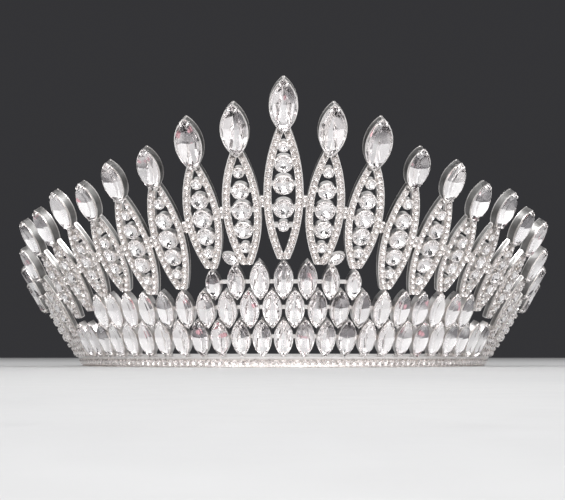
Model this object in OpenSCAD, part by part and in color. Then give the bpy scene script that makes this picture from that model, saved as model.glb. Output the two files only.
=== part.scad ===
// Pageant crown: a jewelled band, a field of pointed-oval stones in staggered rows,
// and tall leaf-shaped spikes that each end in one large pointed-oval stone.
// Millimetres. The crown stands on the floor plane, its front faces -Y and +Z is up.
// The origin is the centre of the band's circle, on the floor.

/* [Band] */
// Radius of the wall's outer face at the floor
band_r = 73.5; // [70:0.5:80]
// Angle of the band to each side of the front
band_half_angle = 82; // [81:1:86]
// Height of the band, measured up the wall
band_h = 4.3; // [4:0.1:5]
// Thickness of the band behind the wall's face
band_back_t = 1; // [0.8:0.1:1.4]
// How far the band's two raised rims stand out
band_rim_out = 1.2; // [1:0.1:1.5]
// Height of each raised rim
band_rim_h = 0.7; // [0.6:0.1:0.9]
// Depth of the groove between the rims, where the small stones lie
band_groove = 0.7; // [0.5:0.1:0.9]

/* [Wall] */
// Outward lean of the band and the field of stones, in degrees
wall_lean = 24.5; // [20:0.5:28]
// Outward lean of the spikes, in degrees
spike_lean = 32; // [28:0.5:36]
// Angle between neighbouring stones of a row, in degrees
cup_pitch = 4.75; // [4.7:0.01:4.85]
// Rise from the low row to the middle row, up the wall
middle_rise = 9.8; // [9.7:0.1:11]
// Rise from the middle row to the lower tips of the top row, up the wall
top_rise = 3; // [2.9:0.1:4]

/* [Row settings] */
// Width of a pointed-oval setting
cup_w = 6; // [5.4:0.1:6.1]
// Length of a pointed-oval setting
cup_l = 12.8; // [12:0.1:12.9]
// Depth of a row's settings, from their backs to their rims
cup_h = 2.2; // [2:0.1:3]
// Wall thickness of every setting
cup_wall = 0.45; // [0.3:0.05:0.5]
// Floor thickness of every setting
cup_floor = 0.8; // [0.8:0.05:1]
// Width of the short stems under the low row
stem_w = 1.8; // [1.4:0.1:2.2]
// Length of the short stems under the low row
stem_l = 1.9; // [1.7:0.1:2.4]
// Height of the wire that joins the settings of a row behind them
rail_h = 1.1; // [1:0.1:1.6]
// Thickness of that wire
rail_t = 0.6; // [0.5:0.05:0.65]
// How far that wire and the stems lie in from the settings' faces
rail_step = 0.1; // [0.05:0.05:0.15]
// Length of the two small slanted settings beside the centre
slant_l = 6; // [5.6:0.1:6.1]
// Width of the slanted settings
slant_w = 3.3; // [3:0.1:3.4]

/* [Spikes] */
// Length of the centre leaf
leaf_l = 42.5; // [38:0.5:46]
// Width of the centre leaf
leaf_w = 11.6; // [10:0.1:11.8]
// Width of the jewelled strand round each leaf
strand_w = 2.2; // [2:0.1:2.4]
// Thickness of a leaf
leaf_t = 1.3; // [1.2:0.1:1.5]
// Depth of the round settings inside a leaf
round_cup_h = 2; // [1.8:0.1:2.4]
// Width of the thin bars that carry the round settings
bar_w = 1.2; // [1:0.1:1.5]
// How far each end of such a bar reaches into the strand
bar_grip = 0.5; // [0.4:0.1:0.8]
// Width of the jewelled foot under each of the last leaves
stalk_w = 8.8; // [7:0.1:9]
// How far that foot overlaps its leaf
stalk_overlap = 3; // [2:0.1:4]
// Length of a large tip setting
big_tip_l = 16.2; // [15:0.1:17]
// Width of a large tip setting
big_tip_w = 8; // [7:0.1:8.5]
// Length of a small tip setting
small_tip_l = 13.4; // [12.5:0.1:14]
// Width of a small tip setting
small_tip_w = 7; // [6.4:0.1:7.4]
// Depth of a tip setting
tip_h = 2.8; // [2.4:0.1:3.4]
// How far a tip setting overlaps its leaf
tip_overlap = 1.6; // [1.4:0.1:2]

/* [Stones] */
// Diameter of the largest round stones' settings
round_d = 5.6; // [5:0.1:5.7]
// Height of a cut stone above its girdle
crown_h = 1.3; // [1:0.1:1.6]
// Size of a stone's flat table as a share of its girdle
table_share = 0.52; // [0.4:0.02:0.6]

/* [End wires] */
// Diameter of the plain wire
wire_d = 1.8; // [1.6:0.1:2]
// Radius of the wire's inward bend
wire_bend_r = 40; // [36:1:44]
// Angle of the wire's bend, in degrees
wire_bend = 75; // [68:1:80]
// Height of the wire's middle above the floor
wire_z = 2.4; // [2.2:0.1:2.8]
// Thickness of the loop's wire
loop_wire_d = 2.2; // [2:0.1:2.4]
// Radius of the hole in the loop
loop_hole_r = 2.85; // [2.6:0.05:3.1]
// Length of the hole's straight wall
loop_land = 1.2; // [1:0.05:1.4]
// Diameter of the collar where the wire starts
collar_d = 2.8; // [2.4:0.1:3]
// Length of that collar
collar_l = 2.6; // [2:0.1:3.2]
// Thickness of the flat strip inside the band
strip_t = 0.9; // [0.8:0.1:1.1]
// Height of that strip up the wall
strip_h = 2.6; // [2:0.1:3]
// Angle that the strip covers, in degrees
strip_angle = 16; // [10:1:20]
// Angle that the strip reaches past the end of the band, in degrees
strip_past = 1.2; // [0.8:0.1:1.6]
// Angle that the plain wire reaches back into the collar, in degrees
collar_grip = 0.4; // [0.2:0.1:0.6]

/* [Clearances] */
// Gap between a stone and its setting
stone_gap = 0.12; // [0.1:0.01:0.15]
// Gap between pieces that stand on each other
seat_gap = 0.2; // [0.15:0.01:0.25]

/* [Hidden] */
$fn = 48;
// Number of spikes to each side of the centre one
side_spikes = 11;
// The spikes stand one and a half settings apart
spike_pitch = 1.5 * cup_pitch;
// Stones to each side of the centre in the low row, the middle row and the top row
low_last = 12;
middle_last = 9;
top_last = 3;
// Slope heights of the rows' middles
low_s = band_h + seat_gap + cup_l / 2;
middle_s = low_s + middle_rise;
top_foot_s = middle_s + top_rise;
top_rail_s = top_foot_s + 0.42 * cup_l;
// Lengths of the top row's settings, from its middle outwards, as shares of cup_l
top_lengths = [1, 1, 0.9, 0.78];
// Place and turn of the slanted settings
slant_turn = 2.14 * cup_pitch;
slant_s = top_foot_s + 1.03 * cup_l;
slant_lean = 55;
// Columns: row that the leaf stands on (0 band, 1 low, 2 middle, 3 top), rise of its foot over
// the middle of that row in setting lengths, leaf length and leaf width as shares of the centre's
SPIKES = [
    [3, 0.50, 1.00, 1.00],
    [3, 0.37, 0.87, 0.98],
    [3, 0.28, 0.81, 0.96],
    [2, 0.50, 0.84, 0.95],
    [2, 0.38, 0.80, 0.94],
    [2, 0.50, 0.63, 0.93],
    [2, 0.38, 0.63, 0.92],
    [1, 0.78, 0.63, 0.90],
    [1, 0.60, 0.62, 0.88],
    [0, 0.60, 0.57, 0.87],
    [0, 0.37, 0.50, 0.84],
    [0, 0.17, 0.44, 0.81]
];
// Columns: place of a round stone from foot to tip as a share of the leaf, and its
// setting's diameter as a share of round_d
CENTRE_STONES = [[0.86, 0.60], [0.735, 0.98], [0.58, 1.12], [0.40, 1.10], [0.265, 0.62]];
SIDE_STONES = [[0.82, 0.60], [0.66, 0.94], [0.49, 1.10], [0.32, 1.00], [0.16, 0.60]];
// Leaves up to this length take smaller stones
full_stone_leaf_l = 0.82 * leaf_l;
// A leaf's sides are arcs of a pointed oval this many times as long as the leaf
leaf_stretch = 1.18;
// Sides of a stone's outline: chords along each half of a pointed oval, and of a round stone
oval_chords = 4;
round_sides = 8;
metal = "silver";
crystal = "lightcyan";

steps = [-side_spikes : side_spikes];
function spike_name(k) = k == 0 ? "center" : str(k < 0 ? "left_" : "right_", abs(k));

// Radius of the arcs of a pointed oval of width w and length l
function arc_r(w, l) = (w * w + l * l) / (4 * w);

// Half width of that oval, pulled in by inset, at the height y from its middle
function half_w(w, l, y, inset = 0) =
    sqrt(pow(arc_r(w, l) - inset, 2) - y * y) - arc_r(w, l) + w / 2;

// Half length of that oval, pulled in by inset
function half_l(w, l, inset = 0) =
    sqrt(pow(arc_r(w, l) - inset, 2) - pow(arc_r(w, l) - w / 2, 2));

// Slope height of the middle of the row that a leaf stands on
function stand_s(row) =
    row == 3 ? top_foot_s + cup_l / 2 : row == 2 ? middle_s : row == 1 ? low_s : band_h;

// Measures of one spike
function foot_s(k) = stand_s(SPIKES[abs(k)][0]) + SPIKES[abs(k)][1] * cup_l + seat_gap;
function stands_on_band(k) = SPIKES[abs(k)][0] == 0;
function leaf_len(k) = SPIKES[abs(k)][2] * leaf_l;
function leaf_wid(k) = SPIKES[abs(k)][3] * leaf_w;
function tip_l(k) = abs(k) < 3 ? big_tip_l : small_tip_l;
function tip_w(k) = abs(k) < 3 ? big_tip_w : small_tip_w;
function leaf_stones_of(k) = k == 0 ? CENTRE_STONES : SIDE_STONES;
function stone_scale(k) = min(1, leaf_len(k) / full_stone_leaf_l);
function round_cup_d(k, row) = row[1] * round_d * stone_scale(k);

// Puts children on the wall: X along it, Y up its slope, Z outwards
module on_wall(turn, s, lean = wall_lean) {
    rotate([0, 0, turn])
        translate([0, -(band_r + s * sin(wall_lean)), s * cos(wall_lean)])
            rotate([90 + lean, 0, 0])
                children();
}

// Flat pointed oval, upright, with its sides pulled in by inset
module oval(w, l, inset = 0) {
    r = arc_r(w, l);
    intersection() {
        translate([r - w / 2, 0]) circle(r = r - inset);
        translate([w / 2 - r, 0]) circle(r = r - inset);
    }
}

// Outline points of a pointed oval or a circle, for a cut stone
function side_points(w, l, inset, side) = [
    for (i = [0 : oval_chords - 1])
        let (y = side * half_l(w, l, inset) * cos(180 * i / oval_chords))
            [side * max(half_w(w, l, y, inset), 0), y]
];
function oval_points(w, l, inset) =
    concat(side_points(w, l, inset, -1), side_points(w, l, inset, 1));
function round_points(d) = [
    for (i = [0 : round_sides - 1])
        let (a = (i + 0.5) * 360 / round_sides) [cos(a) * d / 2, sin(a) * d / 2]
];

// Cut stone: a point below, a girdle of the given outline and a flat table on top
module cut_stone(outline, low, girdle, top) {
    n = len(outline);
    ring = concat(
        [for (p = outline) [p[0], p[1], girdle]],
        [for (p = outline) [p[0] * table_share, p[1] * table_share, top]],
        [[0, 0, low]]
    );
    faces = concat(
        [[for (i = [n - 1 : -1 : 0]) n + i]],
        [for (i = [0 : n - 1]) [i, n + i, n + (i + 1) % n]],
        [for (i = [0 : n - 1]) [i, n + (i + 1) % n, (i + 1) % n]],
        [for (i = [0 : n - 1]) [2 * n, i, (i + 1) % n]]
    );
    polyhedron(points = ring, faces = faces);
}

// Stone of a pointed-oval setting of width w, length l and depth h
module oval_stone(w, l, h) {
    cut_stone(
        oval_points(w, l, cup_wall + stone_gap),
        cup_floor + stone_gap,
        h - stone_gap,
        h + crown_h
    );
}

// Pointed-oval setting with its pocket
module oval_cup(w, l, h) {
    difference() {
        linear_extrude(h) oval(w, l);
        translate([0, 0, cup_floor]) linear_extrude(h) oval(w, l, cup_wall);
    }
}

// Turns of the settings of each row
function low_turns() = [for (i = [-low_last : low_last]) i * cup_pitch];
function middle_turns() =
    [for (i = [-middle_last - 1 : middle_last]) (i + 0.5) * cup_pitch];

// Wire behind a row, at slope height s, out to the turn half_turn on each side
module rail(s, half_turn) {
    rotate([0, 0, -90 - half_turn])
        rotate_extrude(angle = 2 * half_turn)
            translate([band_r + s * sin(wall_lean), s * cos(wall_lean)])
                rotate(-wall_lean)
                    translate([rail_step, -rail_h / 2]) square([rail_t, rail_h]);
}

module base_band() {
    in = -band_back_t;
    out = band_rim_out;
    groove = band_rim_out - band_groove;
    top = band_h;
    rise = sin(wall_lean);
    tall = cos(wall_lean);
    // Corners in the wall's own plane: out from the face, and up the slope
    corners = [
        [in, top], [out, top], [out, top - band_rim_h], [groove, top - band_rim_h],
        [groove, band_rim_h], [out, band_rim_h]
    ];
    section = concat(
        [[band_r + in / tall, 0]],
        [for (i = [0 : len(corners) - 1])
            [band_r + corners[i][0] * tall + corners[i][1] * rise,
             corners[i][1] * tall - corners[i][0] * rise]],
        [[band_r + out / tall, 0]]
    );
    color(metal)
        rotate([0, 0, -90 - band_half_angle])
            rotate_extrude(angle = 2 * band_half_angle)
                polygon([for (i = [len(section) - 1 : -1 : 0]) section[i]]);
}

// Plain wire on the +X side: strip inside the band, collar, bent wire and loop
module end_wire() {
    strip_in = -band_back_t - seat_gap - strip_t;
    start_turn = band_half_angle + strip_past;
    bottom_s = (wire_z - strip_h / 2 * cos(wall_lean)) / cos(wall_lean);
    start_r = band_r + wire_z * tan(wall_lean) + (strip_in + strip_t / 2) / cos(wall_lean);
    middle_r = loop_hole_r + sqrt(pow(loop_wire_d / 2, 2) - pow(loop_land / 2, 2));
    loop_z = middle_r + loop_wire_d / 2;
    reach = sqrt(middle_r * middle_r - pow(loop_z - wire_z, 2));
    color(metal) union() {
        rotate([0, 0, start_turn - strip_angle - 90])
            rotate_extrude(angle = strip_angle)
                translate([band_r, 0]) rotate(-wall_lean)
                    translate([strip_in, bottom_s]) square([strip_t, strip_h]);
        rotate([0, 0, start_turn - 90])
            translate([start_r - wire_bend_r, 0, wire_z]) {
                rotate_extrude(angle = collar_l / wire_bend_r * 180 / PI)
                    translate([wire_bend_r, 0]) circle(d = collar_d);
                rotate([0, 0, -collar_grip])
                    rotate_extrude(angle = wire_bend + collar_grip)
                        translate([wire_bend_r, 0]) circle(d = wire_d);
                rotate([0, 0, wire_bend])
                    translate([wire_bend_r, reach, loop_z - wire_z])
                        rotate([0, 90, 0])
                            rotate_extrude() intersection() {
                                translate([middle_r, 0]) circle(d = loop_wire_d);
                                translate([loop_hole_r, -loop_wire_d])
                                    square(2 * loop_wire_d);
                            }
            }
    }
}

module end_wire_right() {
    end_wire();
}

module end_wire_left() {
    mirror([1, 0, 0]) end_wire();
}

module row_low_settings() {
    color(metal) union() {
        rail(low_s, low_last * cup_pitch);
        for (turn = low_turns()) on_wall(turn, low_s) {
            oval_cup(cup_w, cup_l, cup_h);
            translate([-stem_w / 2, -cup_l / 2, rail_step])
                cube([stem_w, stem_l, cup_floor - 2 * rail_step]);
        }
    }
}

module row_low_stones() {
    color(crystal)
        for (turn = low_turns()) on_wall(turn, low_s) oval_stone(cup_w, cup_l, cup_h);
}

module row_middle_settings() {
    color(metal) union() {
        rail(middle_s, (middle_last + 0.5) * cup_pitch);
        for (turn = middle_turns()) on_wall(turn, middle_s) oval_cup(cup_w, cup_l, cup_h);
    }
}

module row_middle_stones() {
    color(crystal)
        for (turn = middle_turns()) on_wall(turn, middle_s) oval_stone(cup_w, cup_l, cup_h);
}

// Places of the top row's upright settings, with their lengths
function top_share(i) = top_lengths[abs(i)];
function top_s(i) = top_foot_s + top_share(i) * cup_l / 2;

module row_top_settings() {
    color(metal) union() {
        rail(top_rail_s, top_last * cup_pitch);
        for (i = [-top_last : top_last])
            on_wall(i * cup_pitch, top_s(i))
                oval_cup(top_share(i) * cup_w, top_share(i) * cup_l, cup_h);
        for (side = [-1, 1])
            on_wall(side * slant_turn, slant_s)
                rotate(-side * slant_lean) oval_cup(slant_w, slant_l, cup_h);
    }
}

module row_top_stones() {
    color(crystal) {
        for (i = [-top_last : top_last])
            on_wall(i * cup_pitch, top_s(i))
                oval_stone(top_share(i) * cup_w, top_share(i) * cup_l, cup_h);
        for (side = [-1, 1])
            on_wall(side * slant_turn, slant_s)
                rotate(-side * slant_lean) oval_stone(slant_w, slant_l, cup_h);
    }
}

// Flat outline of a leaf with its foot at the origin. The last leaves are filled.
module leaf_face(k) {
    l = leaf_len(k);
    w = leaf_wid(k);
    difference() {
        intersection() {
            translate([0, l / 2]) oval(w, l * leaf_stretch);
            translate([-w, 0]) square([2 * w, l]);
        }
        if (!stands_on_band(k)) translate([0, l / 2]) oval(w, l * leaf_stretch, strand_w);
    }
}

// Half length of the bar behind one round setting, from the leaf's middle into the strand
function bar_reach(k, row) =
    bar_grip + half_w(leaf_wid(k), leaf_stretch * leaf_len(k), (row[0] - 0.5) * leaf_len(k), strand_w);

// Spike number k from the front, negative to the left: leaf, round settings and tip setting
module spike(k) {
    l = leaf_len(k);
    w = leaf_wid(k);
    tip_y = l - tip_overlap + tip_l(k) / 2;
    stalk_l = foot_s(k) - band_h - seat_gap;
    color(metal)
        on_wall(k * spike_pitch, foot_s(k), spike_lean) difference() {
            union() {
                linear_extrude(leaf_t) {
                    leaf_face(k);
                    for (row = leaf_stones_of(k)) translate([0, row[0] * l]) {
                        square([2 * bar_reach(k, row), bar_w], center = true);
                        circle(d = round_cup_d(k, row));
                    }
                }
                for (row = leaf_stones_of(k))
                    translate([0, row[0] * l]) cylinder(h = round_cup_h, d = round_cup_d(k, row));
                translate([0, tip_y]) linear_extrude(tip_h) oval(tip_w(k), tip_l(k));
                if (stands_on_band(k))
                    rotate([wall_lean - spike_lean, 0, 0])
                        translate([-stalk_w / 2, -stalk_l, 0])
                            cube([stalk_w, stalk_l + stalk_overlap, leaf_t]);
            }
            for (row = leaf_stones_of(k))
                translate([0, row[0] * l, cup_floor])
                    cylinder(h = round_cup_h, d = round_cup_d(k, row) - 2 * cup_wall);
            translate([0, tip_y, cup_floor])
                linear_extrude(tip_h) oval(tip_w(k), tip_l(k), cup_wall);
        }
}

module tip_stone(k) {
    tip_y = leaf_len(k) - tip_overlap + tip_l(k) / 2;
    color(crystal)
        on_wall(k * spike_pitch, foot_s(k), spike_lean)
            translate([0, tip_y]) oval_stone(tip_w(k), tip_l(k), tip_h);
}

module leaf_stones() {
    color(crystal)
        for (k = steps)
            on_wall(k * spike_pitch, foot_s(k), spike_lean)
                for (row = leaf_stones_of(k))
                    translate([0, row[0] * leaf_len(k)])
                        cut_stone(
                            round_points(round_cup_d(k, row) - 2 * (cup_wall + stone_gap)),
                            cup_floor + stone_gap,
                            round_cup_h - stone_gap,
                            round_cup_h + crown_h * stone_scale(k)
                        );
}

base_band();
end_wire_left();
end_wire_right();
row_low_settings();
row_middle_settings();
row_top_settings();
row_low_stones();
row_middle_stones();
row_top_stones();
leaf_stones();
for (k = steps) {
    spike(k);
    tip_stone(k);
}
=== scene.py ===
import random
from math import asin, atan, ceil, cos, degrees, floor, pi, radians, sin, sqrt

import bpy
from mathutils import Matrix, Vector


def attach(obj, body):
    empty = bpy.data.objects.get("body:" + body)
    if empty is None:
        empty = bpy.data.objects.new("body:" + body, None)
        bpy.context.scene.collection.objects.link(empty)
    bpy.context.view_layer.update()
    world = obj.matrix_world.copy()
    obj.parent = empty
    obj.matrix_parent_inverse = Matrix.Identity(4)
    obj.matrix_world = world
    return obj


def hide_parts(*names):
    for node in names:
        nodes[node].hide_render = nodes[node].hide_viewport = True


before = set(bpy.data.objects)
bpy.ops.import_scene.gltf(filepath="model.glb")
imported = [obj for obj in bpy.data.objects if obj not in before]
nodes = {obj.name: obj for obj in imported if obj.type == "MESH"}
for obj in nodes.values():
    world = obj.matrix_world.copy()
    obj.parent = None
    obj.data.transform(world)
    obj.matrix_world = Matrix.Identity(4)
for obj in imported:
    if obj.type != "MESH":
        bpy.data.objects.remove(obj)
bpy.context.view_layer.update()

# Sizes of the crown in millimetres and degrees, as its metal is built
MM = 0.001
BAND_R = 73.5
BAND_HALF_ANGLE = 82
BAND_H = 4.3
BAND_RIM_H = 0.7
GROOVE_FLOOR = 0.5
WALL_LEAN = 24.5
SPIKE_LEAN = 32
CUP_PITCH = 4.75
SPIKE_PITCH = 1.5 * CUP_PITCH
CUP_W = 6
CUP_L = 12.8
CUP_H = 2.2
CUP_FLOOR = 0.8
SEAT_GAP = 0.2
LOW_S = BAND_H + SEAT_GAP + CUP_L / 2
MIDDLE_S = LOW_S + 9.8
TOP_FOOT_S = MIDDLE_S + 3
TOP_LENGTHS = [1, 1, 0.9, 0.78]
SLANT_L = 6
SLANT_W = 3.3
SLANT_TURN = 2.14 * CUP_PITCH
SLANT_S = TOP_FOOT_S + 1.03 * CUP_L
SLANT_LEAN = 55
LOW_LAST = 12
MIDDLE_LAST = 9
TOP_LAST = 3
SIDE_SPIKES = 11
LEAF_L = 42.5
LEAF_W = 11.6
LEAF_T = 1.3
LEAF_STRETCH = 1.18
STRAND_W = 2.2
STALK_W = 8.8
STALK_OVERLAP = 3
ROUND_CUP_H = 2
ROUND_D = 5.6
BIG_TIP = (8, 16.2)
SMALL_TIP = (7, 13.4)
TIP_H = 2.8
TIP_OVERLAP = 1.6
# Columns: slope height that the leaf is measured from, rise in setting lengths,
# leaf length and leaf width as shares of the centre leaf
TOP_STAND = TOP_FOOT_S + CUP_L / 2
SPIKES = [
    (TOP_STAND, 0.50, 1.00, 1.00),
    (TOP_STAND, 0.37, 0.87, 0.98),
    (TOP_STAND, 0.28, 0.81, 0.96),
    (MIDDLE_S, 0.50, 0.84, 0.95),
    (MIDDLE_S, 0.38, 0.80, 0.94),
    (MIDDLE_S, 0.50, 0.63, 0.93),
    (MIDDLE_S, 0.38, 0.63, 0.92),
    (LOW_S, 0.78, 0.63, 0.90),
    (LOW_S, 0.60, 0.62, 0.88),
    (BAND_H, 0.60, 0.57, 0.87),
    (BAND_H, 0.37, 0.50, 0.84),
    (BAND_H, 0.17, 0.44, 0.81),
]
# Columns: place of a round stone up the leaf, and its setting's size as a share of ROUND_D
CENTRE_STONES = [(0.86, 0.60), (0.735, 0.98), (0.58, 1.12), (0.40, 1.10), (0.265, 0.62)]
SIDE_STONES = [(0.82, 0.60), (0.66, 0.94), (0.49, 1.10), (0.32, 1.00), (0.16, 0.60)]
# The leaves from this one on are filled with small stones and stand on a jewelled foot
FIRST_FILLED = 9
# Leaves nearer to the centre than this one hold a large tip stone
BIG_TIPS = 3
# Leaves up to this length take smaller round stones
FULL_STONE_LEAF_L = 0.82 * LEAF_L

# Sizes of what the setter adds, in millimetres
# Metal that shows round a stone, and how high its girdle lies over the setting
RIM_SHOWN = 0.2
STONE_LIFT = 0.15
# Height of a large stone above its girdle, and room under its point
STONE_RISE = 1.2
POINT_ROOM = 0.06
# Chords along each half of a pointed oval
ROW_CHORDS = 4
TIP_CHORDS = 5
# Slopes of a pointed oval's facets in front and behind, in degrees, and its edge's thickness
OVAL_TOP_SLOPE = 50
OVAL_BACK_SLOPE = 46
OVAL_EDGE_T = 0.12
# Large facets at its back: places as shares of the sweep, and where they start in from the
# edge and down from the girdle
LOWER_MAINS = 0.25
UPPER_MAINS = 0.5
MAIN_IN = 0.3
MAIN_DOWN = 0.2
# The same for a round stone, whose kites start a little higher and whose stars lie by the table
ROUND_EDGE_T = 0.1
GIRDLE_SLOPE = 44
KITE_UP = 0.06
KITE_SLOPE = 35
STAR_IN = 0.66
STAR_DOWN = 0.18
STAR_SLOPE = 20
ROUND_BACK_SLOPE = 32
ROUND_MAIN_IN = 0.2
ROUND_MAIN_DOWN = 0.12
# The same for the smallest stones, whose eight back facets meet in a point
SMALL_EDGE_T = 0.06
SMALL_TOP_SLOPE = 40
POINT_PAST = 0.04
# How much wider the rough block is than its stone
ROUGH_EXTRA = 0.2
# Small stones and beads
STRAND_STONE_D = 1.85
STRAND_PITCH = 1.98
BAND_STONE_D = 2.1
BAND_STONE_PITCH = 2.2
SMALL_GIRDLE = 0.45
SMALL_DEPTH = 0.44
FILLER_STONE_D = 1.5
GRAIN_D = 0.55
# Step of the search for free places between settings
SEARCH_STEP = 0.3
# Bars between the leaves, and the stones on them
LINK_TALL = 3.4
LINK_STONE_D = 1.6
# Columns: how far each part of a claw runs over the stone and rises, as shares, and how much
# thinner it gets
CLAW_STEPS = [(0.1, 0.3, 0.95), (0.35, 0.25, 0.9), (0.35, 0.02, 0.7), (0.2, -0.1, 0.5)]
# How far from a pointed oval's middle its claws stand, as a share of its sweep
CLAW_SHARE = 0.8
# Cups on the feet of the last leaves
FOOT_CUP_D = 2.75
FOOT_CUP_TALL = 0.75
FOOT_CUP_WALL = 0.2
# Tilt of stones set by hand, in degrees
HAND_TILT = 2.5
SMALL_TILT = 5

random.seed(23)


def arc_r(w, l):
    """Radius of the two arcs of a pointed oval."""
    return (w * w + l * l) / (4 * w)


def half_w(w, l, y, inset=0):
    """Half width of a pointed oval, pulled in by inset, at the height y from its middle."""
    return sqrt((arc_r(w, l) - inset) ** 2 - y * y) - arc_r(w, l) + w / 2


def foot_s(k):
    return SPIKES[abs(k)][0] + SPIKES[abs(k)][1] * CUP_L + SEAT_GAP


def leaf_len(k):
    return SPIKES[abs(k)][2] * LEAF_L


def leaf_wid(k):
    return SPIKES[abs(k)][3] * LEAF_W


def tip_size(k):
    return BIG_TIP if abs(k) < BIG_TIPS else SMALL_TIP


def tip_middle(k):
    return leaf_len(k) - TIP_OVERLAP + tip_size(k)[1] / 2


def stone_scale(k):
    return min(1, leaf_len(k) / FULL_STONE_LEAF_L)


def round_cups(k):
    """Place up the leaf and diameter of each round setting of leaf k."""
    rows = SIDE_STONES if k else CENTRE_STONES
    return [(up * leaf_len(k), share * ROUND_D * stone_scale(k)) for up, share in rows]


def spike_name(k):
    return "center" if k == 0 else f"{'left' if k < 0 else 'right'}_{abs(k)}"


SPIKE_STEPS = range(-SIDE_SPIKES, SIDE_SPIKES + 1)


def on_wall(turn, s, lean=WALL_LEAN):
    """A place on the wall: X along it, Y up its slope, Z outwards."""
    rise = radians(WALL_LEAN)
    point = Vector((0, -(BAND_R + s * sin(rise)), s * cos(rise))) * MM
    return (
        Matrix.Rotation(radians(turn), 4, "Z")
        @ Matrix.Translation(point)
        @ Matrix.Rotation(radians(90 + lean), 4, "X")
    )


def on_spike(k):
    return on_wall(k * SPIKE_PITCH, foot_s(k), SPIKE_LEAN)


def shift(x=0, y=0, z=0, spin=0, size=1):
    """A move in millimetres after a turn about Z and a scale."""
    return (
        Matrix.Translation(Vector((x, y, z)) * MM)
        @ Matrix.Rotation(radians(spin), 4, "Z")
        @ Matrix.Scale(size, 4)
    )


def hand_set(tilt=HAND_TILT):
    """The slight tilt of a stone that was set by hand."""
    lean = Matrix.Rotation(radians(random.uniform(-tilt, tilt)), 4, "X")
    return lean @ Matrix.Rotation(radians(random.uniform(-tilt, tilt)), 4, "Y")


def clear_bench():
    """Nothing is selected, and no tool is in edit mode."""
    if bpy.context.object and bpy.context.object.mode != "OBJECT":
        bpy.ops.object.mode_set(mode="OBJECT")
    bpy.ops.object.select_all(action="DESELECT")


def take(piece):
    """Selects one piece and opens it in edit mode."""
    clear_bench()
    piece.select_set(True)
    bpy.context.view_layer.objects.active = piece
    bpy.ops.object.mode_set(mode="EDIT")


def settle(piece, name):
    """Closes edit mode and puts the piece's place into its mesh."""
    bpy.ops.object.mode_set(mode="OBJECT")
    clear_bench()
    piece.select_set(True)
    bpy.context.view_layer.objects.active = piece
    bpy.ops.object.transform_apply(location=True, rotation=True, scale=True)
    piece.name = piece.data.name = name
    return piece


def grind(normal, distance):
    """Grinds one flat facet: what lies past the plane is cut off and the cut is closed."""
    normal = Vector(normal).normalized()
    bpy.ops.mesh.select_all(action="SELECT")
    bpy.ops.mesh.bisect(
        plane_co=normal * distance,
        plane_no=normal,
        use_fill=True,
        clear_outer=True,
        threshold=1e-7,
    )


def grind_slope(facing, reach, height, slope):
    """Grinds a facet that meets the outline at reach and height (metres), sloped in degrees.

    facing is the outline's direction there. A negative slope faces down.
    """
    facing = Vector(facing).normalized()
    tilt = radians(abs(slope))
    normal = facing * sin(tilt) + Vector((0, 0, 1 if slope > 0 else -1)) * cos(tilt)
    grind(normal, normal.dot(facing * reach + Vector((0, 0, height))))


def rough_stone(w, l, low, high):
    """A rough block that a stone is ground from, a little wider than the stone."""
    clear_bench()
    middle = (0, 0, (low + high) / 2 * MM)
    bpy.ops.mesh.primitive_cube_add(
        size=1, location=middle, scale=((w + ROUGH_EXTRA) * MM, l * MM, (high - low) * MM)
    )
    block = bpy.context.object
    bpy.ops.object.transform_apply(location=True, rotation=True, scale=True)
    take(block)
    return block


def oval_reach(w, l, turn):
    """How far a pointed oval's side lies from its middle, in metres, measured along the turn."""
    return (arc_r(w, l) - (arc_r(w, l) - w / 2) * cos(turn)) * MM


def towards(turn):
    """Direction in the stone's plane at a turn in degrees."""
    return (cos(radians(turn)), sin(radians(turn)), 0)


def navette(name, w, l, girdle, rise, depth, chords):
    """A pointed-oval stone, ground facet by facet. Its girdle lies at the height girdle."""
    block = rough_stone(w, l, girdle - depth, girdle + rise)
    sweep = asin(l / 2 / arc_r(w, l))
    edge = girdle * MM
    outline = []
    for side in (-1, 1):
        for i in range(chords):
            turn = sweep * ((2 * i + 1) / chords - 1)
            outline.append(((side * cos(turn), sin(turn), 0), oval_reach(w, l, turn)))
    for facing, reach in outline:
        grind(facing, reach)
    for facing, reach in outline:
        grind_slope(facing, reach, edge + OVAL_EDGE_T * MM, OVAL_TOP_SLOPE)
    for facing, reach in outline:
        grind_slope(facing, reach, edge, -OVAL_BACK_SLOPE)
    for turn in (-LOWER_MAINS * sweep, UPPER_MAINS * sweep):
        start = oval_reach(w, l, turn) - MAIN_IN * MM
        main = degrees(atan((depth - MAIN_DOWN) * MM / start))
        for side in (-1, 1):
            facing = (side * cos(turn), sin(turn), 0)
            grind_slope(facing, start, edge - MAIN_DOWN * MM, -main)
    return settle(block, name)


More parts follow.
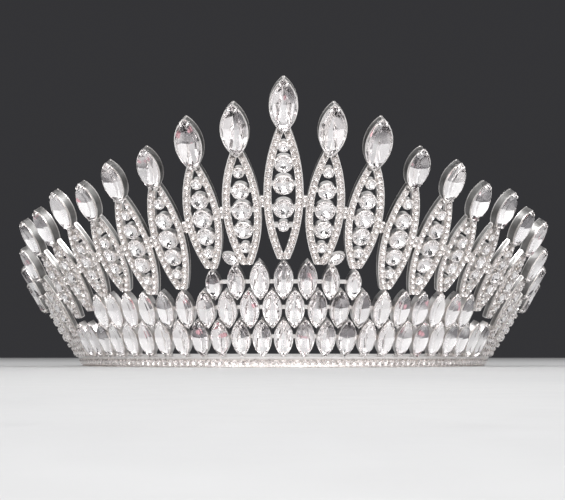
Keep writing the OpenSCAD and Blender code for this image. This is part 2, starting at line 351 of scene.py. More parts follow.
def brilliant(name, d, girdle, rise, depth):
    """A round stone with table, star, kite and girdle facets above and eight mains below."""
    block = rough_stone(d, d + ROUGH_EXTRA, girdle - depth, girdle + rise)
    edge = girdle * MM
    reach = d / 2 * MM
    ring = [(i + 0.5) * 22.5 for i in range(16)]
    mains = [i * 45 for i in range(8)]
    for turn in ring:
        grind(towards(turn), reach)
    for turn in ring:
        grind_slope(towards(turn), reach, edge + ROUND_EDGE_T * MM, GIRDLE_SLOPE)
    for turn in mains:
        grind_slope(towards(turn), reach, edge + (ROUND_EDGE_T + KITE_UP) * MM, KITE_SLOPE)
    for turn in mains:
        star = edge + (rise - STAR_DOWN) * MM
        grind_slope(towards(turn + 22.5), STAR_IN * reach, star, STAR_SLOPE)
    for turn in ring:
        grind_slope(towards(turn), reach, edge, -ROUND_BACK_SLOPE)
    main = degrees(atan((depth - ROUND_MAIN_DOWN) / (d / 2 - ROUND_MAIN_IN)))
    start = reach - ROUND_MAIN_IN * MM
    for turn in mains:
        grind_slope(towards(turn), start, edge - ROUND_MAIN_DOWN * MM, -main)
    return settle(block, name)


def chaton(name, d, girdle, rise, depth):
    """A small round stone with eight facets round its table and a short foiled point."""
    block = rough_stone(d, d + ROUGH_EXTRA, girdle - depth, girdle + rise)
    edge = girdle * MM
    reach = d / 2 * MM
    turns = [i * 45 for i in range(8)]
    for turn in turns:
        grind(towards(turn), reach)
    for turn in turns:
        grind_slope(towards(turn), reach, edge + SMALL_EDGE_T * MM, SMALL_TOP_SLOPE)
    point = degrees(atan(2 * (depth + POINT_PAST) / d))
    for turn in turns:
        grind_slope(towards(turn), reach, edge, -point)
    return settle(block, name)


def grain(name, d):
    """A bead of metal raised beside a stone, flat underneath."""
    clear_bench()
    bpy.ops.mesh.primitive_ico_sphere_add(subdivisions=1, radius=d / 2 * MM)
    bead = bpy.context.object
    take(bead)
    grind((0, 0, -1), 0.2 * d * MM)
    bpy.ops.mesh.select_all(action="SELECT")
    bpy.ops.transform.translate(value=(0, 0, 0.2 * d * MM))
    bpy.ops.transform.resize(value=(1, 1, 0.85))
    return settle(bead, name)


def claw(name, thick, tall, reach):
    """A claw that rises along Z and bends over a stone towards -Y."""
    clear_bench()
    start = 0.5 * tall * MM
    bpy.ops.mesh.primitive_cylinder_add(
        vertices=6, radius=thick / 2 * MM, depth=start, location=(0, 0, start / 2)
    )
    wire = bpy.context.object
    bpy.ops.object.transform_apply(location=True, rotation=True, scale=True)
    take(wire)
    pick_faces(wire, lambda face: face.normal.z > 0.9)
    middle = Vector((0, 0, start))
    for run, rise, size in CLAW_STEPS:
        step = Vector((0, -run * reach * MM, rise * tall * MM))
        bpy.ops.mesh.extrude_region_move(TRANSFORM_OT_translate={"value": step})
        middle += step
        bpy.ops.transform.resize(value=(size, size, size), center_override=middle)
    settle(wire, name)
    bpy.ops.object.shade_smooth()
    return wire


def pick_faces(piece, wanted):
    """Selects the faces of the piece in hand for which wanted(face) is true."""
    bpy.ops.mesh.select_mode(type="FACE")
    bpy.ops.mesh.select_all(action="DESELECT")
    bpy.ops.object.mode_set(mode="OBJECT")
    for face in piece.data.polygons:
        face.select = bool(wanted(face))
    bpy.ops.object.mode_set(mode="EDIT")


def bezel_cup(name, d, tall, wall):
    """A small round cup for one stone: a short tube with a floor."""
    clear_bench()
    bpy.ops.mesh.primitive_cylinder_add(
        vertices=12, radius=d / 2 * MM, depth=tall * MM, location=(0, 0, tall / 2 * MM)
    )
    cup = bpy.context.object
    bpy.ops.object.transform_apply(location=True, rotation=True, scale=True)
    take(cup)
    pick_faces(cup, lambda face: face.normal.z > 0.9)
    bpy.ops.mesh.inset(thickness=wall * MM)
    bpy.ops.mesh.extrude_region_move(
        TRANSFORM_OT_translate={"value": (0, 0, -0.6 * tall * MM)}
    )
    return settle(cup, name)


def link_bar(name):
    """A short plain bar, one millimetre each way, with softened corners."""
    clear_bench()
    bpy.ops.mesh.primitive_cube_add(size=MM)
    bar = bpy.context.object
    take(bar)
    bpy.ops.mesh.select_all(action="SELECT")
    bpy.ops.mesh.bevel(offset=0.16 * MM, segments=2)
    settle(bar, name)
    bpy.ops.object.shade_smooth_by_angle(angle=radians(50))
    return bar


def bent_strip(name, radius, sweep, low, high, thick):
    """A strip of metal from low to high, bent round the origin over the sweep."""
    clear_bench()
    turn = sweep / 2
    start = Vector((radius * cos(turn), -radius * sin(turn), (low + high) / 2)) * MM
    bpy.ops.mesh.primitive_plane_add(size=MM, location=start, rotation=(pi / 2, 0, -turn))
    strip = bpy.context.object
    bpy.ops.object.transform_apply(location=True, rotation=True, scale=True)
    take(strip)
    bpy.ops.mesh.select_all(action="SELECT")
    bpy.ops.transform.resize(value=(thick, thick, high - low), center_override=start)
    bpy.ops.mesh.spin(steps=14, angle=-sweep, center=(0, 0, 0), axis=(0, 0, 1))
    bpy.ops.mesh.select_all(action="SELECT")
    bpy.ops.mesh.normals_make_consistent(inside=False)
    settle(strip, name)
    bpy.ops.object.shade_smooth_by_angle(angle=radians(40))
    return strip


def edge_oval(w, l, reach, out, low, high, thick, finish, middles):
    """Strips along both sides of a pointed oval at each of its middles, out from its edge."""
    radius = arc_r(w, l) + out
    strip = bent_strip("strip_blank", radius, 2 * asin(reach / radius), low, high, thick)
    strip.data.materials.append(finish)
    places = []
    for middle in middles:
        for spin in (0, 180):
            places.append(middle @ shift(spin=spin) @ shift(x=w / 2 - arc_r(w, l)))
    edges = set_copies(strip, places, "edge_part")
    put_away(strip)
    return edges


def set_copies(model, places, name):
    """Copies the model to each place, each copy with its own mesh, and joins them."""
    clear_bench()
    copies = []
    for place in places:
        copy = model.copy()
        copy.data = model.data.copy()
        copy.data.transform(place)
        bpy.context.scene.collection.objects.link(copy)
        copy.select_set(True)
        copies.append(copy)
    bpy.context.view_layer.objects.active = copies[0]
    if len(copies) > 1:
        bpy.ops.object.join()
    joined = bpy.context.object
    joined.name = joined.data.name = name
    return joined


def join_all(parts, name):
    clear_bench()
    for part in parts:
        part.select_set(True)
    bpy.context.view_layer.objects.active = parts[0]
    bpy.ops.object.join()
    joined = bpy.context.object
    joined.name = joined.data.name = name
    return joined


def put_away(*models):
    """Removes the models that copies were made from."""
    for model in models:
        mesh = model.data
        bpy.data.objects.remove(model)
        bpy.data.meshes.remove(mesh)


# Finishes

def node_finish(name):
    finish = bpy.data.materials.new(name)
    finish.use_nodes = True
    tree = finish.node_tree
    shader = tree.nodes["Principled BSDF"]
    coords = tree.nodes.new("ShaderNodeTexCoord")
    return finish, tree, shader, coords.outputs["Object"]


def noise(tree, vector, scale, detail=2.0):
    node = tree.nodes.new("ShaderNodeTexNoise")
    node.inputs["Scale"].default_value = scale
    node.inputs["Detail"].default_value = detail
    tree.links.new(vector, node.inputs["Vector"])
    return node.outputs["Fac"]


def spread(tree, value, low, high, from_low=0.3, from_high=0.7):
    """Maps a noise to the range low to high."""
    node = tree.nodes.new("ShaderNodeMapRange")
    node.inputs["From Min"].default_value = from_low
    node.inputs["From Max"].default_value = from_high
    node.inputs["To Min"].default_value = low
    node.inputs["To Max"].default_value = high
    tree.links.new(value, node.inputs["Value"])
    return node.outputs["Result"]


def tint(tree, value, first, second):
    """A colour between two, chosen by a value from 0 to 1."""
    node = tree.nodes.new("ShaderNodeMix")
    node.data_type = "RGBA"
    node.inputs["A"].default_value = (*first, 1)
    node.inputs["B"].default_value = (*second, 1)
    tree.links.new(value, node.inputs["Factor"])
    return node.outputs["Result"]


def bump(tree, shader, height, strength, distance):
    node = tree.nodes.new("ShaderNodeBump")
    node.inputs["Strength"].default_value = strength
    node.inputs["Distance"].default_value = distance
    tree.links.new(height, node.inputs["Height"])
    tree.links.new(node.outputs["Normal"], shader.inputs["Normal"])


def bright_plating():
    """Polished white plating over a casting: faint ripples, fine rubbing marks, warm patches."""
    finish, tree, shader, place = node_finish("bright_plating")
    shader.inputs["Metallic"].default_value = 1
    patches = spread(tree, noise(tree, place, 160), 0, 1)
    colour = tint(tree, patches, (0.93, 0.905, 0.895), (0.85, 0.82, 0.80))
    tree.links.new(colour, shader.inputs["Base Color"])
    rubbing = spread(tree, noise(tree, place, 900, 4), 0.26, 0.36)
    tree.links.new(rubbing, shader.inputs["Roughness"])
    bump(tree, shader, noise(tree, place, 1400, 3), 0.05, 0.00005)
    return finish


def painted_shade_plating():
    """The same plating made dark grey as painted shade, for the strips between the wires of a
    setting's side.
    """
    finish, tree, shader, place = node_finish("painted_shade_plating")
    shader.inputs["Metallic"].default_value = 1
    patches = spread(tree, noise(tree, place, 300, 2), 0, 1)
    # Painted shade: dark grey metal standing in for the shadow between the wires
    colour = tint(tree, patches, (0.36, 0.355, 0.35), (0.22, 0.215, 0.21))
    tree.links.new(colour, shader.inputs["Base Color"])
    rubbing = spread(tree, noise(tree, place, 900, 4), 0.35, 0.55)
    tree.links.new(rubbing, shader.inputs["Roughness"])
    bump(tree, shader, noise(tree, place, 1400, 3), 0.12, 0.00005)
    return finish


def drawn_wire():
    """Bare drawn wire: darker than the plating, with fine marks."""
    finish, tree, shader, place = node_finish("drawn_wire")
    shader.inputs["Metallic"].default_value = 1
    patches = spread(tree, noise(tree, place, 220, 3), 0, 1)
    colour = tint(tree, patches, (0.62, 0.62, 0.64), (0.47, 0.46, 0.46))
    tree.links.new(colour, shader.inputs["Base Color"])
    rubbing = spread(tree, noise(tree, place, 1600, 5), 0.14, 0.34)
    tree.links.new(rubbing, shader.inputs["Roughness"])
    bump(tree, shader, noise(tree, place, 2600, 3), 0.2, 0.00004)
    return finish


def cut_crystal(name, first, second, index):
    """Clear crystal with a trace of colour that differs from stone to stone."""
    finish, tree, shader, place = node_finish(name)
    shader.inputs["Transmission Weight"].default_value = 1
    shader.inputs["IOR"].default_value = index
    shade = spread(tree, noise(tree, place, 130, 1), 0, 1)
    tree.links.new(tint(tree, shade, first, second), shader.inputs["Base Color"])
    smear = spread(tree, noise(tree, place, 700, 3), 0.0, 0.035)
    tree.links.new(smear, shader.inputs["Roughness"])
    return finish


def mirror_foil(name, first, second, rough):
    """Silvered backing behind a stone, brighter and duller in patches."""
    finish, tree, shader, place = node_finish(name)
    shader.inputs["Metallic"].default_value = 1
    patches = spread(tree, noise(tree, place, 420, 1), 0, 1)
    silver = tint(tree, patches, first, second)
    tree.links.new(silver, shader.inputs["Base Color"])
    dulling = spread(tree, noise(tree, place, 1100, 3), 0.5 * rough, 1.5 * rough)
    tree.links.new(dulling, shader.inputs["Roughness"])
    return finish


def foil_with_painted_shade():
    """Foil with painted shade: darker in some stones, with a painted pink glint in a few."""
    finish, tree, shader, place = node_finish("painted_shade_foil")
    shader.inputs["Metallic"].default_value = 1
    shader.inputs["Roughness"].default_value = 0.05
    # Painted shade: the foil turns dark grey in patches, standing in for dark reflections in the
    # upper facets
    painted_shade_mask = spread(tree, noise(tree, place, 150, 1), 0, 1, 0.38, 0.56)
    shaded_foil_colour = tint(tree, painted_shade_mask, (0.84, 0.82, 0.82), (0.28, 0.27, 0.28))
    # Painted reflection: a pink glint in a few stones
    painted_glint_mask = spread(tree, noise(tree, place, 260, 1), 0, 1, 0.62, 0.68)
    node = tree.nodes.new("ShaderNodeMix")
    node.data_type = "RGBA"
    node.inputs["B"].default_value = (0.88, 0.5, 0.55, 1)
    tree.links.new(painted_glint_mask, node.inputs["Factor"])
    tree.links.new(shaded_foil_colour, node.inputs["A"])
    tree.links.new(node.outputs["Result"], shader.inputs["Base Color"])
    return finish


def pale_board():
    finish, tree, shader, place = node_finish("pale_board")
    shade = spread(tree, noise(tree, place, 9, 4), 0, 1)
    colour = tint(tree, shade, (0.62, 0.62, 0.62), (0.58, 0.58, 0.585))
    tree.links.new(colour, shader.inputs["Base Color"])
    grain_marks = spread(tree, noise(tree, place, 160, 5), 0.5, 0.62)
    tree.links.new(grain_marks, shader.inputs["Roughness"])
    return finish


plating = bright_plating()
# Dark plating: painted shade for the strips between the wires of the settings
shade_strip_finish = painted_shade_plating()
wire_finish = drawn_wire()
crystal = cut_crystal("clear_crystal", (1.0, 1.0, 1.0), (0.98, 0.975, 0.985), 1.5)
small_crystal = cut_crystal("small_crystal", (1.0, 0.99, 0.985), (0.97, 0.955, 0.965), 1.55)
foil = mirror_foil("stone_foil", (1.0, 0.985, 0.98), (0.96, 0.94, 0.94), 0.05)
# Foil with painted shade and a painted pink glint, for the upper back facets
painted_shade_foil = foil_with_painted_shade()
small_foil = mirror_foil("small_foil", (0.99, 0.96, 0.945), (0.87, 0.84, 0.825), 0.18)


def hand_over(piece, slot, *replaced):
    """The piece rides with the crown and stands for the nodes named."""
    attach(piece, "root")
    if replaced:
        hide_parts(*replaced)
    return piece


def finish_metal_nodes():
    for name, node in nodes.items():
        if "stone" in name:
            continue
        finish = wire_finish if name.startswith("end_wire") else plating
        for material_slot in node.material_slots:
            material_slot.material = finish


def blank_with_foil(blank, glass, backing):
    """Facets that face down get the foil, the others are glass."""
    blank.data.materials.clear()
    blank.data.materials.append(glass)
    blank.data.materials.append(backing)
    for face in blank.data.polygons:
        face.material_index = 1 if face.normal.z < -0.05 else 0
    return blank


def paint_shade_on_upper_mains(blank, count):
    """Up to two of the widest facets at the back of the upper half get the foil with painted shade
    and a painted pink glint.
    """
    blank.data.materials.append(painted_shade_foil)
    upper = [
        face
        for face in blank.data.polygons
        if face.material_index == 1 and face.normal.z < -0.5 and face.center.y > 0
    ]
    for face in sorted(upper, key=lambda face: face.area)[len(upper) - count:]:
        face.material_index = 2


def oval_stones(w, l, h, chords, places, name, painted_shade_counts=(0, 1, 1, 2)):
    """Stones for pointed-oval settings of width w, length l and depth h, set at the places.

    They are cut alike, and differ in how many facets of their foil carry painted shade.
    """
    centre = arc_r(w, l) - w / 2
    pointed_l = 2 * sqrt((arc_r(w, l) - RIM_SHOWN) ** 2 - centre ** 2)
    girdle = h + STONE_LIFT
    depth = girdle - CUP_FLOOR - POINT_ROOM
    shares = {}
    for place in places:
        shares.setdefault(random.choice(painted_shade_counts), []).append(place)
    parts = []
    for count, share in sorted(shares.items()):
        outline = (w - 2 * RIM_SHOWN, pointed_l)
        stone = navette("oval_blank", *outline, girdle, STONE_RISE, depth, chords)
        blank_with_foil(stone, crystal, foil)
        # Painted shade on some of the upper back facets
        paint_shade_on_upper_mains(stone, count)
        parts.append(set_copies(stone, share, "oval_part"))
        put_away(stone)
    return join_all(parts, name)


def set_row_stones():
    low = [on_wall(i * CUP_PITCH, LOW_S) @ hand_set() for i in range(-LOW_LAST, LOW_LAST + 1)]
    low_stones = oval_stones(CUP_W, CUP_L, CUP_H, ROW_CHORDS, low, "low_row_stones")
    hand_over(low_stones, "crystal", "row_low_stones")
    middle = [
        on_wall((i + 0.5) * CUP_PITCH, MIDDLE_S) @ hand_set()
        for i in range(-MIDDLE_LAST - 1, MIDDLE_LAST + 1)
    ]
    middle_stones = oval_stones(CUP_W, CUP_L, CUP_H, ROW_CHORDS, middle, "middle_row_stones")
    hand_over(middle_stones, "crystal", "row_middle_stones")
    parts = []
    for share in sorted(set(TOP_LENGTHS)):
        places = [
            on_wall(i * CUP_PITCH, TOP_FOOT_S + share * CUP_L / 2) @ hand_set()
            for i in range(-TOP_LAST, TOP_LAST + 1)
            if TOP_LENGTHS[abs(i)] == share
        ]
        size = (share * CUP_W, share * CUP_L, CUP_H)
        parts.append(oval_stones(*size, ROW_CHORDS, places, "top_part"))
    places = [
        on_wall(side * SLANT_TURN, SLANT_S) @ shift(spin=-side * SLANT_LEAN) for side in (-1, 1)
    ]
    parts.append(oval_stones(SLANT_W, SLANT_L, CUP_H, ROW_CHORDS, places, "slant_part"))
    hand_over(join_all(parts, "top_row_stones"), "crystal", "row_top_stones")


def set_tip_stones():
    for k in SPIKE_STEPS:
        place = on_spike(k) @ shift(y=tip_middle(k)) @ hand_set()
        name = spike_name(k)
        stone = oval_stones(*tip_size(k), TIP_H, TIP_CHORDS, [place], f"tip_{name}", (1, 2, 2))
        hand_over(stone, "crystal", f"tip_stone_{name}")


def set_round_stones():
    size = ROUND_D - 2 * RIM_SHOWN
    girdle = ROUND_CUP_H + STONE_LIFT
    depth = girdle - CUP_FLOOR - POINT_ROOM
    model = brilliant("brilliant_blank", size, girdle, STONE_RISE, depth)
    blank_with_foil(model, crystal, foil)
    places = []
    for k in SPIKE_STEPS:
        for up, d in round_cups(k):
            share = (d - 2 * RIM_SHOWN) / size
            seat = shift(y=up, z=girdle * (1 - share), size=share)
            places.append(on_spike(k) @ seat @ hand_set() @ shift(spin=random.uniform(0, 45)))
    hand_over(set_copies(model, places, "round_stones"), "crystal", "leaf_stones")
    put_away(model)


def strand_walk(k):
    """Middles of the small stones up both strands of leaf k, in its own frame, as (x, y, side)."""
    w, l = leaf_wid(k), LEAF_STRETCH * leaf_len(k)
    middle = leaf_len(k) / 2
    run = arc_r(w, l) - STRAND_W / 2
    centre = arc_r(w, l) - w / 2
    meet = sqrt(run ** 2 - (centre + 0.52 * STRAND_STONE_D) ** 2)
    end = asin(min(meet, middle - 0.4 * STRAND_STONE_D) / run)
    count = floor(2 * end * run / STRAND_PITCH)
    walk = []
    for side in (-1, 1):
        for i in range(count + 1):
            turn = end * (2 * i / count - 1)
            walk.append((side * (run * cos(turn) - centre), middle + run * sin(turn), side))
    return walk


def strand_grains(k):
    """Grains at both edges of the strands, between the small stones."""
    w, l = leaf_wid(k), LEAF_STRETCH * leaf_len(k)
    middle = leaf_len(k) / 2
    radius = arc_r(w, l)
    run = radius - STRAND_W / 2
    centre = radius - w / 2
    walk = [p for p in strand_walk(k) if p[2] > 0]
    places = []
    for (x0, y0, _), (x1, y1, _) in zip(walk, walk[1:]):
        turn = asin(((y0 + y1) / 2 - middle) / run)
        for inset in (0.4, STRAND_W - 0.24):
            for side in (-1, 1):
                x = side * ((radius - inset) * cos(turn) - centre)
                places.append((x, middle + (radius - inset) * sin(turn)))
    return places


def clear_of_cups(k, x, y, room):
    return all(sqrt(x * x + (y - up) ** 2) > d / 2 + room for up, d in round_cups(k))


def set_leaf_pave():
    """Small stones and grains on the strands of every leaf."""
    stone = chaton("strand_blank", STRAND_STONE_D, SMALL_GIRDLE, 0.42, SMALL_DEPTH)
    blank_with_foil(stone, small_crystal, small_foil)
    bead = grain("grain_blank", GRAIN_D)
    bead.data.materials.append(plating)
    stones = []
    beads = []
    for k in SPIKE_STEPS:
        spike = on_spike(k)
        for x, y, _ in strand_walk(k):
            if clear_of_cups(k, x, y, 0.3 * STRAND_STONE_D):
                seat = shift(x, y, LEAF_T, spin=random.uniform(0, 45))
                stones.append(spike @ seat @ hand_set(SMALL_TILT))
        for x, y in strand_grains(k):
            if clear_of_cups(k, x, y, 0):
                beads.append(spike @ shift(x, y, LEAF_T - 0.05))
    hand_over(set_copies(stone, stones, "strand_stones"), "small_crystal")
    hand_over(set_copies(bead, beads, "strand_grains"), "metal")
    put_away(stone, bead)


def set_leaf_rims():
    """Fine wires along the top and foot of every leaf's sides, with a dark strip of painted shade
    between them.
    """
    rims = []
    painted_shade_strips = []
    for size in range(SIDE_SPIKES + 1):
        w, l = leaf_wid(size), LEAF_STRETCH * leaf_len(size)
        reach = leaf_len(size) / 2 - 0.4
        middles = [on_spike(k) @ shift(y=leaf_len(k) / 2) for k in sorted({-size, size})]
        # Each wire or strip: out from the leaf's edge, bottom, top and thickness
        top = (-0.06, LEAF_T - 0.02, LEAF_T + 0.34, 0.28)
        foot = (0.02, 0.02, 0.22, 0.12)
        for out, low, high, thick in (top, foot):
            rims.append(edge_oval(w, l, reach, out, low, high, thick, plating, middles))
        # A dark strip of painted shade between the wires on the leaf's side
        wall = (0.01, 0.2, LEAF_T - 0.08, 0.05)
        painted_shade_strips.append(edge_oval(w, l, reach, *wall, shade_strip_finish, middles))
    hand_over(join_all(rims, "leaf_rims"), "metal")
    hand_over(join_all(painted_shade_strips, "leaf_painted_shade"), "metal")


def set_tip_rims():
    """Wires round the tip settings at their rim and foot, with a dark strip of painted shade
    between them.
    """
    rims = []
    painted_shade_strips = []
    for sizes in (range(BIG_TIPS), range(BIG_TIPS, SIDE_SPIKES + 1)):
        w, l = tip_size(sizes[0])
        middles = [
            on_spike(k) @ shift(y=tip_middle(k)) for k in SPIKE_STEPS if abs(k) in sizes
        ]
        # Each wire or strip: out from the setting's edge, bottom, top and thickness
        top = (0.03, TIP_H - 0.32, TIP_H - 0.02, 0.2)
        foot = (0.03, 0.02, 0.3, 0.2)
        for out, low, high, thick in (top, foot):
            rims.append(edge_oval(w, l, l / 2 - 0.1, out, low, high, thick, plating, middles))
        # A dark strip of painted shade between the wires on the setting's side
        wall = (0.01, 0.28, TIP_H - 0.3, 0.06)
        painted_shade_strips.append(edge_oval(w, l, l / 2 - 0.3, *wall, shade_strip_finish, middles))
    hand_over(join_all(rims, "tip_rims"), "metal")
    hand_over(join_all(painted_shade_strips, "tip_galleries"), "metal")


def set_band_pave():
    """The row of small stones in the band's groove, with grains above and below."""
    stone = chaton("band_blank", BAND_STONE_D, SMALL_GIRDLE, 0.4, SMALL_DEPTH)
    blank_with_foil(stone, small_crystal, small_foil)
    bead = grain("band_grain_blank", GRAIN_D)
    bead.data.materials.append(plating)
    run = BAND_R + BAND_H / 2 * sin(radians(WALL_LEAN)) + GROOVE_FLOOR
    half = BAND_HALF_ANGLE - 1
    count = floor(2 * radians(half) * run / BAND_STONE_PITCH)
    stones = []
    beads = []
    for i in range(count + 1):
        turn = half * (2 * i / count - 1)
        seat = on_wall(turn, BAND_H / 2) @ shift(z=GROOVE_FLOOR, spin=random.uniform(0, 45))
        stones.append(seat @ hand_set(4))
        between = turn + half / count
        if i == count:
            break
        for up in (BAND_RIM_H + 0.3, BAND_H - BAND_RIM_H - 0.3):
            beads.append(on_wall(between, up) @ shift(z=GROOVE_FLOOR - 0.05, size=1.2))
    hand_over(set_copies(stone, stones, "band_stones"), "small_crystal")
    hand_over(set_copies(bead, beads, "band_grains"), "metal")
    put_away(stone, bead)


def outline_places(w, l, spots):
    """Places on the rim of a pointed oval, turned so that -Y points inwards.

    Each spot is the share of the arc from its middle to its point, signed, and the side.
    """
    radius = arc_r(w, l)
    centre = radius - w / 2
    places = []
    for share, side in spots:
        turn = share * asin(l / 2 / radius)
        x = side * ((radius - 0.1) * cos(turn) - centre)
        outward = degrees(turn) if side > 0 else 180 - degrees(turn)
        places.append(shift(x, (radius - 0.1) * sin(turn), spin=outward - 90))
    return places


def set_claws():
    """Claws over the tip stones, the row stones and the larger round stones."""
    # Each claw's thickness, height and reach over the stone
    tip_claw = claw("tip_claw_blank", 0.7, 1.7, 0.95)
    row_claw = claw("row_claw_blank", 0.5, 1.25, 0.7)
    round_claw = claw("round_claw_blank", 0.46, 1.1, 0.6)
    for model in (tip_claw, row_claw, round_claw):
        model.data.materials.append(plating)
    corners = [(share, side) for share in (-CLAW_SHARE, CLAW_SHARE) for side in (-1, 1)]
    places = []
    for k in SPIKE_STEPS:
        for corner in outline_places(*tip_size(k), corners):
            places.append(on_spike(k) @ shift(y=tip_middle(k), z=TIP_H - 0.75) @ corner)
    hand_over(set_copies(tip_claw, places, "tip_claws"), "metal")
    rows = [(i * CUP_PITCH, LOW_S, 1) for i in range(-LOW_LAST, LOW_LAST + 1)]
    rows += [
        ((i + 0.5) * CUP_PITCH, MIDDLE_S, 1) for i in range(-MIDDLE_LAST - 1, MIDDLE_LAST + 1)
    ]
    for i in range(-TOP_LAST, TOP_LAST + 1):
        share = TOP_LENGTHS[abs(i)]
        rows.append((i * CUP_PITCH, TOP_FOOT_S + share * CUP_L / 2, share))
    places = []
    for turn, s, share in rows:
        for corner in outline_places(share * CUP_W, share * CUP_L, corners):
            places.append(on_wall(turn, s) @ shift(z=CUP_H - 0.55) @ corner)
    hand_over(set_copies(row_claw, places, "row_claws"), "metal")
    places = []
    for k in SPIKE_STEPS:
        for up, d in round_cups(k):
            for turn in (45, 135, 225, 315):
                away = (d / 2 - 0.12) * cos(radians(45))
                x = away if turn in (45, 315) else -away
                y = away if turn in (45, 135) else -away
                seat = shift(x, up + y, ROUND_CUP_H - 0.5, spin=turn - 90)
                places.append(on_spike(k) @ seat)
    hand_over(set_copies(round_claw, places, "round_claws"), "metal")
    put_away(tip_claw, row_claw, round_claw)


def stalk_len(k):
    return foot_s(k) - BAND_H - SEAT_GAP


def filled_leaf_stones(k):
    """Small stones on the metal between the round settings and the strands of a filled leaf."""
    w, l = leaf_wid(k), LEAF_STRETCH * leaf_len(k)
    middle = leaf_len(k) / 2
    taken = [(0, up, d / 2) for up, d in round_cups(k)]
    spots = []
    for d in (FILLER_STONE_D, 1.1):
        for row in range(ceil(leaf_len(k) / SEARCH_STEP)):
            y = 0.8 + row * SEARCH_STEP
            for column in range(-10, 11):
                x = column * SEARCH_STEP
                if abs(y - middle) > middle - 0.6:
                    continue
                if abs(x) > half_w(w, l, y - middle, STRAND_W) - d / 2 + 0.15:
                    continue
                if all(sqrt((x - a) ** 2 + (y - b) ** 2) > d / 2 + r - 0.05 for a, b, r in taken):
                    taken.append((x, y, d / 2))
                    spots.append((x, y, d))
    return spots


def foot_cup_spots(k):
    """Middles of the small cups on the foot under leaf k, in the foot's own plane."""
    spots = []
    low = -stalk_len(k) + FOOT_CUP_D / 2 + 0.05
    row = 0
    while low + row * 0.87 * FOOT_CUP_D < STALK_OVERLAP - FOOT_CUP_D / 2:
        y = low + row * 0.87 * FOOT_CUP_D
        for column in (-1, 0, 1) if row % 2 == 0 else (-0.5, 0.5):
            x = column * FOOT_CUP_D * 1.04
            if clear_of_leaf(k, x, y, FOOT_CUP_D / 2):
                spots.append((x, y))
        row += 1
    return spots


def clear_of_leaf(k, x, y, room):
    """True where a stone that needs room on each side lies on the foot and not on leaf k."""
    if y < -room:
        return True
    middle = leaf_len(k) / 2
    return abs(x) > half_w(leaf_wid(k), LEAF_STRETCH * leaf_len(k), max(y, 0) - middle) + room


def foot_filler_spots(k):
    """Small stones between the cups of a foot, in the foot's own plane."""
    taken = [(x, y, FOOT_CUP_D / 2) for x, y in foot_cup_spots(k)]
    spots = []
    for d in (FILLER_STONE_D, 1.1, 0.9):
        for row in range(ceil((stalk_len(k) + STALK_OVERLAP) / SEARCH_STEP)):
            y = -stalk_len(k) + d / 2 + 0.05 + row * SEARCH_STEP
            for column in range(-14, 15):
                x = column * SEARCH_STEP
                if abs(x) > (STALK_W - d) / 2 or y > STALK_OVERLAP - d / 2:
                    continue
                if not clear_of_leaf(k, x, y, d / 2):
                    continue
                if all(sqrt((x - a) ** 2 + (y - b) ** 2) > d / 2 + r - 0.08 for a, b, r in taken):
                    taken.append((x, y, d / 2))
                    spots.append((x, y, d))
    return spots


def set_foot_pave():
    """Stones in small cups on the feet of the last leaves, smaller ones between them and above."""
    cup = bezel_cup("foot_cup_blank", FOOT_CUP_D, FOOT_CUP_TALL, FOOT_CUP_WALL)
    cup.data.materials.append(plating)
    stone = brilliant("foot_blank", FOOT_CUP_D - 0.3, 0.8, 0.6, 0.5)
    blank_with_foil(stone, small_crystal, small_foil)
    small = chaton("filler_blank", FILLER_STONE_D, 0.4, 0.35, 0.38)
    blank_with_foil(small, small_crystal, small_foil)
    cups = []
    stones = []
    fillers = []
    turn_to_wall = Matrix.Rotation(radians(WALL_LEAN - SPIKE_LEAN), 4, "X")
    for k in SPIKE_STEPS:
        if abs(k) < FIRST_FILLED:
            continue
        for x, y, d in filled_leaf_stones(k):
            size = d / FILLER_STONE_D
            seat = on_spike(k) @ shift(x, y, LEAF_T, spin=random.uniform(0, 45), size=size)
            fillers.append(seat @ hand_set(SMALL_TILT))
        foot = on_spike(k) @ turn_to_wall
        for x, y in foot_cup_spots(k):
            seat = foot @ shift(x, y, LEAF_T - 0.05)
            cups.append(seat)
            stones.append(seat @ hand_set(4) @ shift(spin=random.uniform(0, 45)))
        for x, y, d in foot_filler_spots(k):
            size = d / FILLER_STONE_D
            seat = foot @ shift(x, y, LEAF_T, spin=random.uniform(0, 45), size=size)
            fillers.append(seat @ hand_set(SMALL_TILT))
    hand_over(set_copies(cup, cups, "foot_cups"), "metal")
    hand_over(set_copies(stone, stones, "foot_stones"), "small_crystal")
    hand_over(set_copies(small, fillers, "filler_stones"), "small_crystal")
    put_away(cup, stone, small)


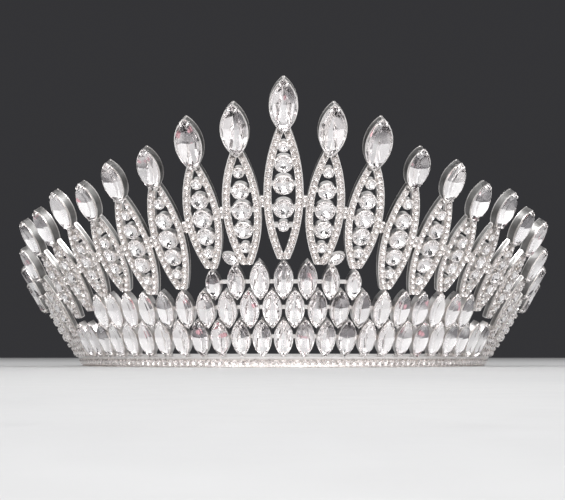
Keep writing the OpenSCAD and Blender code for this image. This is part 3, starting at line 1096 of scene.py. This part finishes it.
def set_leaf_links():
    """Short bars that join neighbouring leaves where they come closest."""
    bar = link_bar("link_bar_blank")
    bar.data.materials.append(plating)
    places = []
    seats = []
    for k in range(-SIDE_SPIKES, SIDE_SPIKES):
        s = (foot_s(k) + leaf_len(k) / 2 + foot_s(k + 1) + leaf_len(k + 1) / 2) / 2
        ends = []
        for leaf, side in ((k, 1), (k + 1, -1)):
            y = s - foot_s(leaf)
            reach = half_w(leaf_wid(leaf), LEAF_STRETCH * leaf_len(leaf), y - leaf_len(leaf) / 2)
            place = on_spike(leaf)
            ends.append(place @ (Vector((side * (reach - 0.3), y, 0.55 * LEAF_T)) * MM))
        along = ends[1] - ends[0]
        out = (on_spike(k).col[2].xyz + on_spike(k + 1).col[2].xyz).normalized()
        across = out.cross(along).normalized()
        out = along.cross(across).normalized()
        turn = Matrix((along.normalized(), across, out)).transposed().to_4x4()
        size = Matrix.Diagonal((along.length / MM, LINK_TALL, 1.0, 1))
        middle = Matrix.Translation((ends[0] + ends[1]) / 2) @ turn
        places.append(middle @ size)
        for up in (-LINK_TALL / 4, LINK_TALL / 4):
            seat = shift(y=up, z=0.5, spin=random.uniform(0, 45))
            seats.append(middle @ seat @ hand_set(SMALL_TILT))
    hand_over(set_copies(bar, places, "leaf_links"), "metal")
    stone = chaton("link_stone_blank", LINK_STONE_D, 0.35, 0.35, 0.35)
    blank_with_foil(stone, small_crystal, small_foil)
    hand_over(set_copies(stone, seats, "link_stones"), "small_crystal")
    put_away(bar, stone)


# The studio: a pale board, soft lamps and a camera low in front of the crown

CAMERA_DISTANCE = 430 * MM
CAMERA_HEIGHT = 4 * MM
CAMERA_TURN = 0
AIM = Vector((-0.4, 0, 43.8)) * MM
FOCAL_PIXELS = 1133
IMAGE_WIDTH = 565
FILM_WIDTH = 36
# How often light may turn inside a stone
TURNS_IN_A_STONE = 12


def set_camera():
    turn = radians(CAMERA_TURN)
    lens = bpy.data.cameras.new("front_camera")
    lens.sensor_width = FILM_WIDTH
    lens.lens = FILM_WIDTH * FOCAL_PIXELS / IMAGE_WIDTH
    lens.clip_start = 0.01
    camera = bpy.data.objects.new("front_camera", lens)
    bpy.context.scene.collection.objects.link(camera)
    stand = Vector((sin(turn) * CAMERA_DISTANCE, -cos(turn) * CAMERA_DISTANCE, CAMERA_HEIGHT))
    camera.location = stand
    camera.rotation_euler = (AIM - stand).to_track_quat("-Z", "Y").to_euler()
    bpy.context.scene.camera = camera


def soft_lamp(name, place, aim, size, power, colour=(1, 1, 1)):
    lamp = bpy.data.lights.new(name, "AREA")
    lamp.shape = "RECTANGLE"
    lamp.size, lamp.size_y = size
    lamp.energy = power
    lamp.color = colour
    stand = bpy.data.objects.new(name, lamp)
    bpy.context.scene.collection.objects.link(stand)
    stand.visible_camera = False
    stand.location = place
    stand.rotation_euler = (Vector(aim) - Vector(place)).to_track_quat("-Z", "Y").to_euler()


def set_studio():
    clear_bench()
    bpy.ops.mesh.primitive_circle_add(vertices=96, radius=1.2, fill_type="NGON")
    board = bpy.context.object
    board.name = "pale_board"
    board.data.materials.append(pale_board())
    world = bpy.data.worlds.new("soft_grey")
    world.use_nodes = True
    world.node_tree.nodes["Background"].inputs["Color"].default_value = (0.035, 0.035, 0.038, 1)
    bpy.context.scene.world = world
    heart = (0, -0.07, 0.04)
    soft_lamp("key_lamp", (-0.35, -0.75, 0.85), heart, (0.4, 0.35), 6.5)
    soft_lamp("second_lamp", (0.5, -0.6, 0.8), heart, (0.35, 0.3), 5.5)
    soft_lamp("front_lamp", (0, -1.5, 0.44), heart, (2.2, 0.75), 23)
    soft_lamp("back_lamp", (0, 0.75, 0.95), heart, (1.4, 0.7), 2.2)
    soft_lamp("right_lamp", (1.1, -0.35, 0.45), heart, (1.1, 1.0), 2)
    soft_lamp("left_lamp", (-1.1, -0.35, 0.45), heart, (1.1, 1.0), 2)
    bpy.context.scene.view_settings.view_transform = "Standard"
    bpy.context.scene.cycles.glossy_bounces = TURNS_IN_A_STONE


set_camera()
set_studio()
finish_metal_nodes()
set_row_stones()
set_tip_stones()
set_round_stones()
set_leaf_pave()
set_leaf_rims()
set_tip_rims()
set_foot_pave()
set_band_pave()
set_claws()
set_leaf_links()
